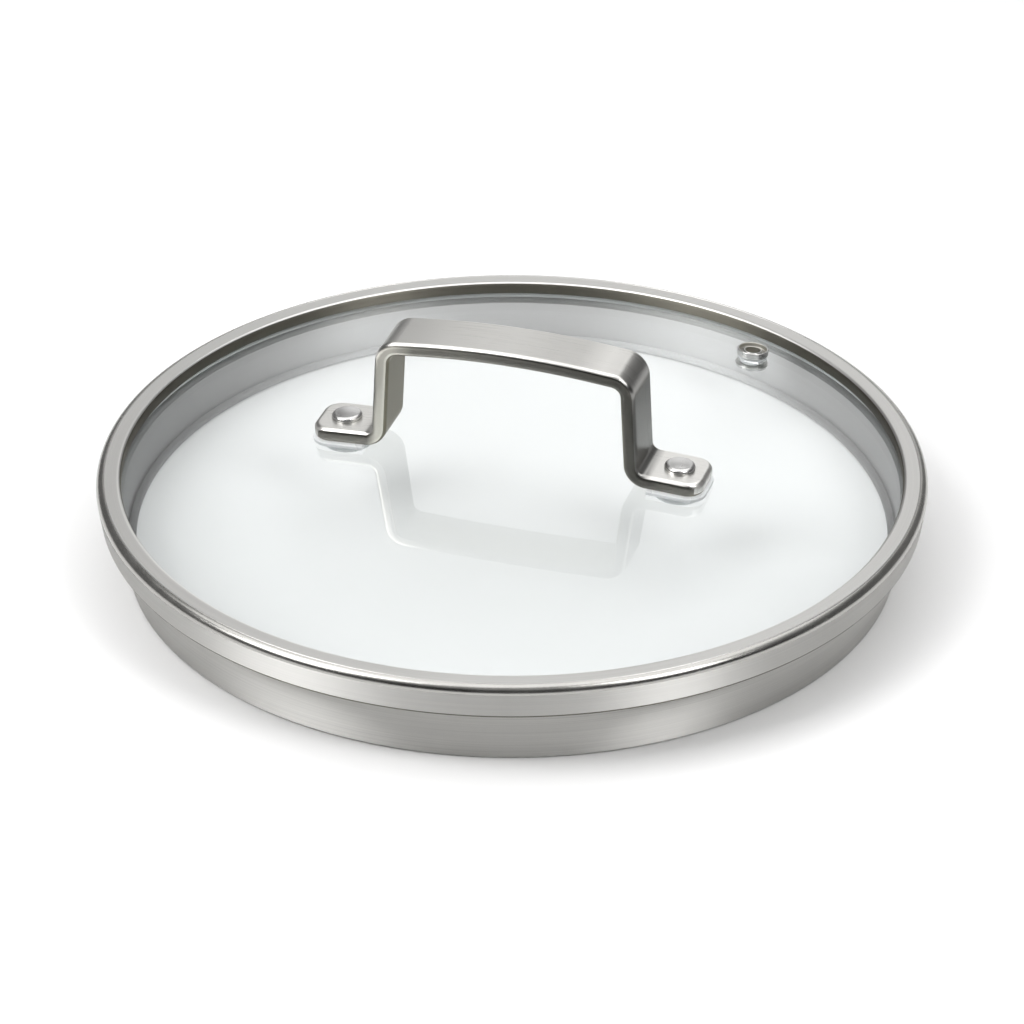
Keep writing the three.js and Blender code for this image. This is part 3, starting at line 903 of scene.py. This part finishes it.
def make_foot_pad(side, place):
    low, high = FIT_GAP / 2, FIT_GAP + PAD_THICKNESS + FIT_GAP / 2
    turns = quarter(PAD_EDGE_STEPS)
    lower = [(PAD_EASE * (1 - math.cos(t)), low + PAD_EASE * (1 - math.sin(t))) for t in reversed(turns)]
    upper = [(PAD_EASE * (1 - math.cos(t)), high - PAD_EASE * (1 - math.sin(t))) for t in turns]
    bore = RIVET_SHANK_RADIUS + FIT_GAP / 2
    sleeve = washer(bore, GLASS_HOLE_RADIUS - FIT_GAP / 2, -GLASS_THICKNESS, 0.0)
    sheet = slab(pad_edge, [*lower, *upper])
    stands_for = [f"foot_pad_{side}"]
    piece = add_piece(f"{side}_foot_pad", placed(sheet, place), stands_for, [SILICONE])
    drill(piece, [place], bore)
    add_piece(f"{side}_hole_sleeve", placed(sleeve, place), stands_for, [SILICONE])


def make_rivet_stack(side, place):
    make_rivet(side, place)
    make_foot_pad(side, place)
    bore = RIVET_SHANK_RADIUS + FIT_GAP / 2
    soft_top = -GLASS_THICKNESS - FIT_GAP / 2
    soft_foot = -GLASS_THICKNESS - FIT_GAP - WASHER_THICKNESS
    steel_top = soft_foot - FIT_GAP
    soft = washer(bore, SOFT_WASHER_RADIUS, soft_foot, soft_top)
    steel = washer(bore, STEEL_WASHER_RADIUS, steel_top - WASHER_THICKNESS, steel_top)
    add_piece(f"{side}_soft_washer", placed(soft, place), [f"soft_washer_{side}"],
              [SILICONE])
    add_piece(f"{side}_steel_washer", placed(steel, place), [f"steel_washer_{side}"],
              [WASHER_STEEL])


# ---- steam vent ----
def make_eyelet():
    cup_top = VENT_CUP_FOOT + VENT_CUP_HEIGHT
    cup_floor = VENT_CUP_FOOT + VENT_CUP_WALL
    cup_inside = VENT_CUP_RADIUS - VENT_CUP_WALL
    lip_top = VENT_CUP_FOOT + VENT_LIP_HEIGHT
    roll_top = -GLASS_THICKNESS - 3 * FIT_GAP - VENT_WASHER_THICKNESS
    roll_foot = roll_top - VENT_ROLL_HEIGHT
    outline = rounded([
        (VENT_BORE_RADIUS, roll_foot, 0.35),
        (VENT_ROLL_RADIUS, roll_foot, 0.35),
        (VENT_ROLL_RADIUS, roll_top, 0.2),
        (VENT_BARREL_RADIUS, roll_top, 0.1),
        (VENT_BARREL_RADIUS, VENT_CUP_FOOT, 0.1),
        (VENT_CUP_RADIUS, VENT_CUP_FOOT, 0.3),
        (VENT_CUP_RADIUS, cup_top, 0.28),
        (cup_inside, cup_top, 0.28),
        (cup_inside, cup_floor, 0.4),
        (VENT_BARREL_RADIUS, cup_floor, 0.3),
        (VENT_BARREL_RADIUS, lip_top, 0.22),
        (VENT_BORE_RADIUS, lip_top, 0.22),
    ])
    piece = add_piece("steam_eyelet", placed(lathe(outline, SMALL_SEGMENTS), VENT), ["vent_eyelet"],
                      [RIVET_STEEL, BORE_STEEL])
    to_vent = VENT.inverted()

    def inside(centre, normal):
        return int(outward(to_vent @ centre, to_vent.to_3x3() @ normal) < -BORE_INWARD)

    paint(piece, inside)


def make_vent_seat():
    """The sleeve and the washer that hold the eyelet in the glass."""
    inner = VENT_BARREL_RADIUS + FIT_GAP / 2
    sleeve_radius = VENT_HOLE_RADIUS - FIT_GAP / 2
    outline = rounded([
        (inner, -GLASS_THICKNESS, 0.1),
        (sleeve_radius, -GLASS_THICKNESS, 0.1),
        (sleeve_radius, FIT_GAP / 2, 0.1),
        (VENT_COLLAR_RADIUS, FIT_GAP / 2, 0.2),
        (VENT_COLLAR_RADIUS, VENT_CUP_FOOT - FIT_GAP, 0.2),
        (inner, VENT_CUP_FOOT - FIT_GAP, 0.1),
    ])
    add_piece("steam_sleeve", placed(lathe(outline, SMALL_SEGMENTS), VENT), ["vent_sleeve"],
              [SILICONE])
    washer_top = -GLASS_THICKNESS - 2 * FIT_GAP
    backing = washer(inner, VENT_WASHER_RADIUS, washer_top - VENT_WASHER_THICKNESS, washer_top)
    add_piece("steam_washer", placed(backing, VENT), ["vent_washer"], [WASHER_STEEL])


# ---- studio ----
CAMERA_AZIMUTH = math.radians(17.4)
CAMERA_ELEVATION = math.radians(29.87)
CAMERA_DISTANCE = 1.4
FOCAL_LENGTH = 163.5
FRAME_SHIFT = -0.0466

FLOOR_REACH = 6.0  # metres each way
FLOOR_TONES = ((0.3, 0.9), (0.7, 0.93))

DARK_SIDE = math.radians(10)  # to the right of the camera

# tones of the sky: (share of the way from one side to the other, or from the horizon up, tone)
WALL_TONES = ((0.0, 1.0), (0.4, 0.9), (0.6, 0.5), (0.75, 0.14), (1.0, 0.08))
CEILING_TONES = ((0.0, 1.0), (0.5, 1.0), (0.62, 0.45), (0.72, 0.24), (1.0, 0.24))
ACROSS_TONES = (
    (0.3, 0.12), (0.37, 0.22), (0.42, 0.33), (0.46, 0.64), (0.5, 0.72), (0.54, 0.75), (0.6, 0.65),
    (0.65, 0.65), (0.7, 0.15),
)
FLAG_TOP = (0.62, 0.74)  # the flags fade out between these shares of the way up
SKY_STRENGTH = 1.5

# name, degrees to the right of the camera, degrees up, metres from the lid, size in metres, brightness
SOFTBOXES = (
    ("overhead", -164, 80, 1.35, (1.9, 1.4), 1.5),
    ("key", -68, 49, 1.5, (0.75, 0.95), 5.0),
    ("fill", 48, 48, 1.5, (0.5, 0.8), 5.6),
)


def toward(azimuth, elevation):
    """Unit vector to a place round the lid. Azimuth 0 is in front, at -Y, and grows towards +X."""
    flat = math.cos(elevation)
    return Vector((flat * math.sin(azimuth), -flat * math.cos(azimuth), math.sin(elevation)))


def make_camera():
    data = bpy.data.cameras.new("camera")
    data.lens = FOCAL_LENGTH
    data.sensor_width = 36
    data.shift_y = FRAME_SHIFT
    data.clip_end = 20
    camera = add_object("camera", data)
    target = Vector((0, 0, RIM_TOP * MM))
    away = toward(CAMERA_AZIMUTH, CAMERA_ELEVATION)
    camera.location = target + away * CAMERA_DISTANCE
    camera.rotation_euler = away.to_track_quat("Z", "Y").to_euler()
    bpy.context.scene.camera = camera


def make_floor():
    mesh = bpy.data.meshes.new("floor")
    shape = bmesh.new()
    bmesh.ops.create_grid(shape, x_segments=8, y_segments=8, size=FLOOR_REACH)
    shape.to_mesh(mesh)
    shape.free()
    floor = add_object("floor", mesh)
    nodes = Nodes("floor_paper")
    cloud = smudges(nodes, 3.0)
    nodes.link(nodes.grey_ramp(cloud, FLOOR_TONES), nodes.shader.inputs["Base Color"])
    nodes.shader.inputs["Roughness"].default_value = 0.7
    nodes.shader.inputs["Specular IOR Level"].default_value = 0.2
    nodes.bump(smudges(nodes, 900.0), 0.05, 0.0001)
    mesh.materials.append(nodes.material)


def make_softbox(name, azimuth, elevation, distance, size, brightness):
    """An oblong lamp that faces the lid."""
    lamp = bpy.data.lights.new(name, "AREA")
    lamp.shape = "RECTANGLE"
    lamp.size, lamp.size_y = size
    lamp.energy = brightness * math.pi * size[0] * size[1]
    away = toward(CAMERA_AZIMUTH + math.radians(azimuth), math.radians(elevation))
    holder = add_object(name, lamp)
    holder.location = away * distance
    holder.rotation_euler = away.to_track_quat("Z", "Y").to_euler()


def make_sky():
    """A pale wall behind the lid between two dark flags, a dim ceiling and a dark side behind the camera."""
    world = bpy.data.worlds.new("studio")
    bpy.context.scene.world = world
    world.use_nodes = True
    nodes = Tree(world.node_tree)
    background = nodes.tree.nodes["Background"]
    direction = nodes.add("TexCoord").outputs["Generated"]
    parts = nodes.add("SeparateXYZ")
    nodes.link(direction, parts.inputs[0])
    height = parts.outputs[2]

    def along(vector):
        dot = nodes.add("VectorMath", operation="DOT_PRODUCT")
        dot.inputs[1].default_value = vector
        nodes.link(direction, dot.inputs[0])
        return dot.outputs["Value"]

    front = along(toward(CAMERA_AZIMUTH + DARK_SIDE, math.radians(20)))
    sideways = along(toward(CAMERA_AZIMUTH + math.pi / 2, 0))
    walls = nodes.grey_ramp(nodes.ranged(front, -1, 1, 0, 1), WALL_TONES)
    across = nodes.grey_ramp(nodes.ranged(sideways, -1, 1, 0, 1), ACROSS_TONES)
    above = nodes.ranged(height, *FLAG_TOP, 0, 1)
    ceiling = nodes.grey_ramp(height, CEILING_TONES)
    sides = nodes.math("MAXIMUM", nodes.math("MULTIPLY", across, walls), above)
    tone = nodes.math("MULTIPLY", sides, ceiling)
    nodes.link(tone, background.inputs["Color"])
    background.inputs["Strength"].default_value = SKY_STRENGTH


def make_studio():
    make_camera()
    make_floor()
    make_sky()
    for softbox in SOFTBOXES:
        make_softbox(*softbox)
    bpy.context.scene.view_settings.view_transform = "Standard"


make_studio()
make_rim()
make_skirt()
make_glass()
make_edge_seal()
make_handle()
make_rivet_stack("left", LEFT)
make_rivet_stack("right", RIGHT)
make_eyelet()
make_vent_seat()
